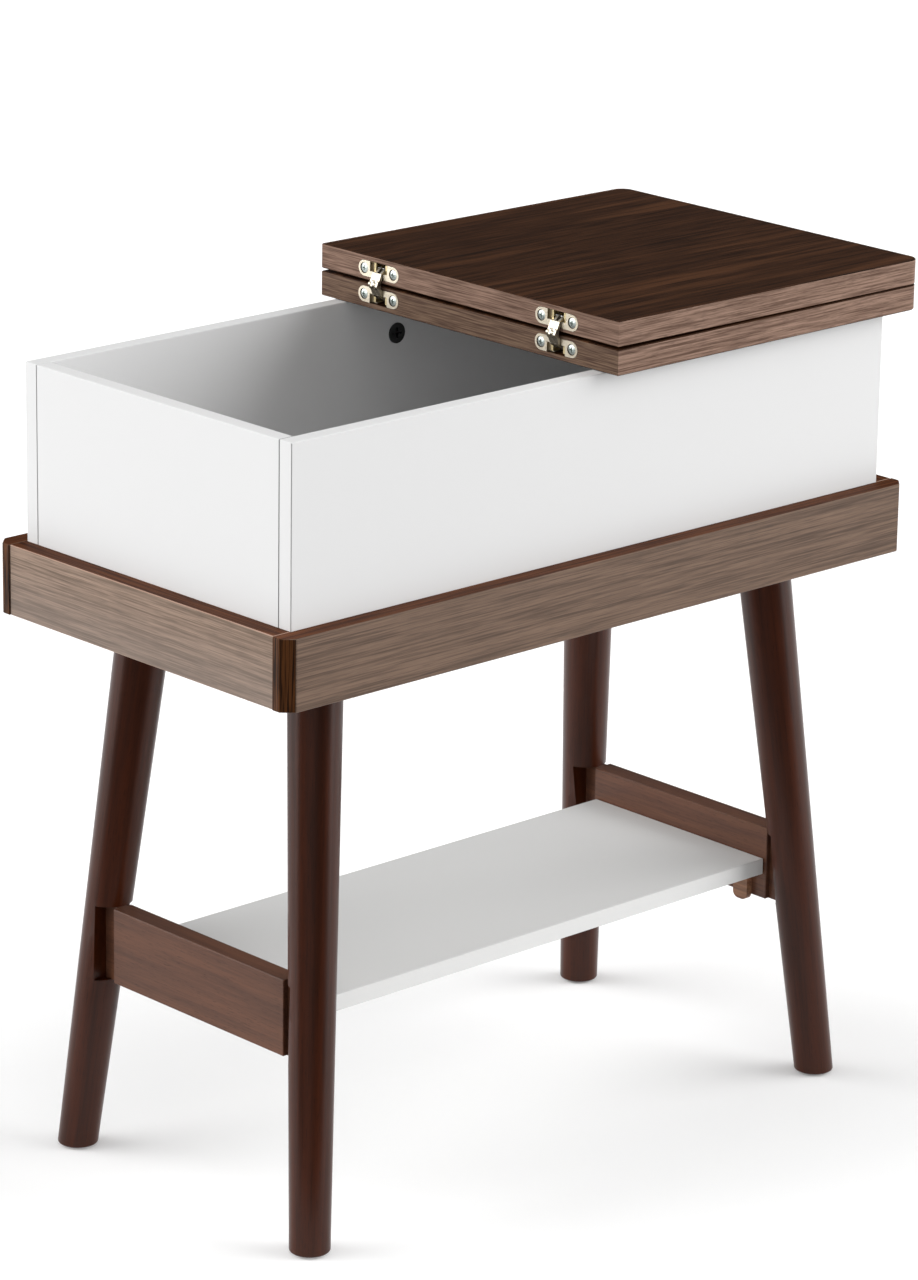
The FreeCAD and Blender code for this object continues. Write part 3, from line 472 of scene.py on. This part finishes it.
# ---------------------------------------------------------------- finishes on the pieces
def finishes():
    """Every material slot's finish, and those that single nodes have instead."""
    cross = cross_board_grain
    by_slot = {
        "leaf_laminate": leaf_laminate("leaf_laminate", "5c473c", "907566"),
        # The front and back boards' foil tones are set darker than the end boards', as painted
        # shade.
        "apron_wood": apron_foil("apron_foil", False, "534339", "7f6858"),
        "white_melamine": white_melamine("white_melamine", "dcdcdc"),
        "stretcher_wood": lacquered_wood("stretcher_wood", cross, "4a2f23", "5f3d2c", "331c14"),
        "support_wood": bare_wood("support_wood", cross, "6b4630", "8c6244"),
        "dowel_wood": bare_wood("dowel_wood", cross, "a9865e", "c8a77c"),
        "zinc_steel": tumbled_metal("zinc_steel", "b9bab8", 0.34),
        "black_plastic": moulded_plastic("black_plastic", "141415", 0.45),
        "satin_nickel": hinge_plate("satin_nickel", "d3c9b6", "3f382f", 0.36),
        "brass": tumbled_metal("brass", "c6b68e", 0.40),
        "pin_steel": tumbled_metal("pin_steel", "a9aaad", 0.30),
    }
    # The end boards' foil tones are set lighter, as a painted sheen from the side light.
    ends = apron_foil("apron_foil_ends_painted_sheen", True, "6b5a4d", "a28a79")
    links = link_steel("link_steel", "b9b1a1", "5e5344")
    end_panels = white_melamine("white_melamine_ends", "dcdcdc", end_panel_half)
    screws = tumbled_metal("bright_zinc", "bcc4c0", 0.36)
    by_node = {
        # The fixed leaf's edge band is set darker, as painted shade under the folding leaf.
        "fixed_leaf": leaf_laminate("leaf_laminate_fixed_painted_shade", "4a3830", "76604f"),
        # The shelf's white is set greyer, as painted shade.
        "shelf": white_melamine("white_melamine_shelf_painted_shade", "d3d3d2"),
        "apron_left": ends,
        "apron_right": ends,
        "box_left_panel": end_panels,
        "box_right_panel": end_panels,
        "hinge_screws_lower": screws,
        "hinge_screws_upper": screws,
        "lower_links": links,
        "upper_links": links,
    }
    for depth, side_y in (("front", -1), ("back", 1)):
        for side, side_x in (("left", -1), ("right", 1)):
            tail = depth + "_" + side
            grain = leg_grain(side_x, side_y)
            leg = lacquered_wood("leg_wood_" + tail, grain, "2f1103", "401a07", "1d0802")
            by_node["leg_" + tail] = leg
    return by_slot, by_node


def dress():
    """Give each node of the part its finish."""
    by_slot, by_node = finishes()
    for row in frame["record"]["subparts"]:
        finish = by_node.get(row["node"]) or by_slot[row["material_slot"]]
        for slot in bpy.data.objects[row["node"]].material_slots:
            slot.material = finish


# ---------------------------------------------------------------- camera, floor and light
def view_axes():
    """Right, up and forward directions of the camera."""
    forward = level_ahead * math.cos(camera_fall) - Vector((0, 0, math.sin(camera_fall)))
    steep = level_right.cross(forward)
    right = level_right * math.cos(camera_roll) + steep * math.sin(camera_roll)
    up = steep * math.cos(camera_roll) - level_right * math.sin(camera_roll)
    return right, up, forward


def camera():
    """Long lens from the front left, a little above the top."""
    right, up, forward = view_axes()
    eye = camera_aim - right * camera_right + up * camera_up - forward * camera_distance
    lens = bpy.data.cameras.new("camera")
    lens.sensor_fit = "HORIZONTAL"
    lens.sensor_width = camera_sensor
    lens.lens = camera_lens
    lens.clip_end = camera_clip_end
    obj = bpy.data.objects.new("camera", lens)
    turn = Matrix((right, up, -forward)).transposed().to_4x4()
    obj.matrix_world = Matrix.Translation(eye) @ turn
    bpy.context.scene.collection.objects.link(obj)
    bpy.context.scene.camera = obj


def floor():
    """Plain pale floor from just in front of the table to far behind and beside it.

    It glows faintly as painted light, and less near the table, which paints a darker pool round
    the contact shadows.
    """
    near, far = -floor_near, floor_reach
    places = ((-far, near), (far, near), (far, far), (-far, far))
    corners = [level_right * beside + level_ahead * ahead for beside, ahead in places]
    mesh = bpy.data.meshes.new("floor")
    mesh.from_pydata(corners, [], [(0, 1, 2, 3)])
    obj = bpy.data.objects.new("floor", mesh)
    bpy.context.scene.collection.objects.link(obj)
    material, tree = new_material("floor")
    coordinates = add(tree, "TexCoord", None, None, "Object")
    away = add(tree, "VectorMath", {"operation": "DISTANCE"},
               {0: coordinates, 1: level_ahead * glow_shift}, "Value")
    glow = add(tree, "MapRange", smooth, {"Value": away,
                                          "From Min": glow_starts, "From Max": glow_full,
                                          "To Min": floor_glow_near, "To Max": floor_glow_far})
    surface(tree, {"Base Color": linear(floor_colour), "Roughness": 0.9, "Specular IOR Level": 0.0,
                   "Emission Color": (1, 1, 1, 1), "Emission Strength": glow})
    mesh.materials.append(material)


def studio():
    """Pale surroundings, bright beside the table and dim before and behind it.

    The camera itself sees plain white past the floor's edge.
    """
    world = bpy.data.worlds.new("studio")
    world.use_nodes = True
    tree = world.node_tree
    tree.nodes.clear()
    direction = add(tree, "TexCoord", None, None, "Generated")
    along = add(tree, "VectorMath", {"operation": "DOT_PRODUCT"},
                {0: direction, 1: level_ahead}, "Value")
    behind = add(tree, "MapRange", smooth,
                 {"Value": along, "From Min": sky_behind_starts, "From Max": sky_behind_full,
                  "To Min": sky_beside, "To Max": sky_behind})
    strength = add(tree, "MapRange", smooth,
                   {"Value": along, "From Min": sky_before_full, "From Max": 0.0,
                    "To Min": sky_before, "To Max": behind})
    height = add(tree, "SeparateXYZ", None, {0: direction}, 2)
    above = add(tree, "MapRange", smooth,
                {"Value": height, "From Min": sky_above_starts, "From Max": 1.0,
                 "To Min": 1.0, "To Max": sky_above})
    strength = add(tree, "Math", multiply, {0: strength, 1: above})
    seen = add(tree, "LightPath", None, None, "Is Camera Ray")
    level = add(tree, "Mix", mix_numbers, {0: seen, 2: strength, 3: 1.0})
    background = add(tree, "Background", None, {"Color": (1, 1, 1, 1), "Strength": level})
    add(tree, "OutputWorld", None, {"Surface": background})
    bpy.context.scene.world = world


def soft_light(name, source, strength, angle):
    """Wide soft light from one direction."""
    lamp = bpy.data.lights.new(name, "SUN")
    lamp.energy = strength
    lamp.angle = angle
    obj = bpy.data.objects.new(name, lamp)
    obj.rotation_euler = source.to_track_quat("Z", "Y").to_euler()
    bpy.context.scene.collection.objects.link(obj)


def lights():
    """A light from each side, which gives the round legs bright rims, and one from the front."""
    rise = Vector((0, 0, side_rise))
    soft_light("key", rise - level_right, key_strength, side_angle)
    soft_light("front", front_from, front_strength, front_angle)
    soft_light("fill", rise + level_right, fill_strength, side_angle)


camera()
floor()
studio()
lights()
dress()
bpy.context.scene.view_settings.view_transform = "Standard"
